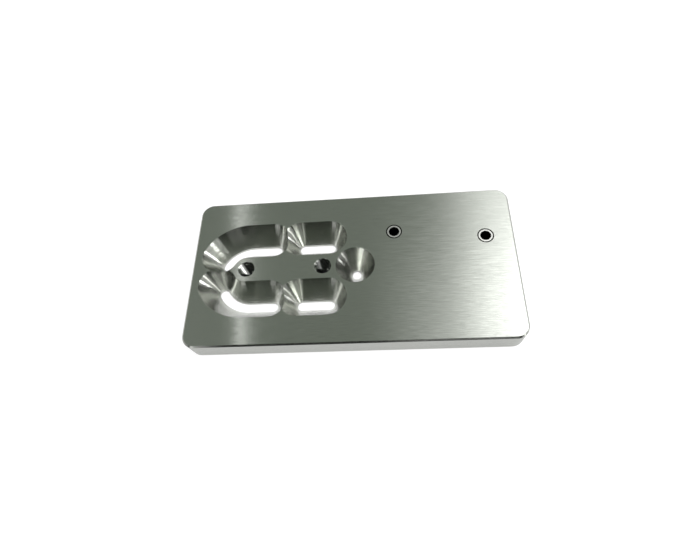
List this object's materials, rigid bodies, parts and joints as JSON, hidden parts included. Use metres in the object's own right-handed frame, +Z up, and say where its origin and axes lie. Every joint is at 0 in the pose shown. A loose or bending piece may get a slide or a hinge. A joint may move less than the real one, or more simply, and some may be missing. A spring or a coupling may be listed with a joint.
{
  "type": "locating plate",
  "caption": "Brushed rectangular locating plate with V-walled through slots on an oval track, a round funnel hole, tapped holes and pressed-in guide bushes.",
  "frame": {"origin": "middle of the underside, on the surface the plate lies on", "axes": "+X along the plate's length towards the bushed end, +Y to the back, across the plate towards the side with the bushes, +Z up, out of the face with the wide mouths of the slots"},
  "size_m": [0.2, 0.1, 0.016],
  "materials": {
    "brushed_aluminium": "hairline brushed along the length, machined slot walls",
    "ground_steel": "hardened and ground"
  },
  "bodies": {
    "root": {"plate": "brushed_aluminium", "locating_bush_middle": "ground_steel", "locating_bush_end": "ground_steel"}
  },
  "joints": []
}
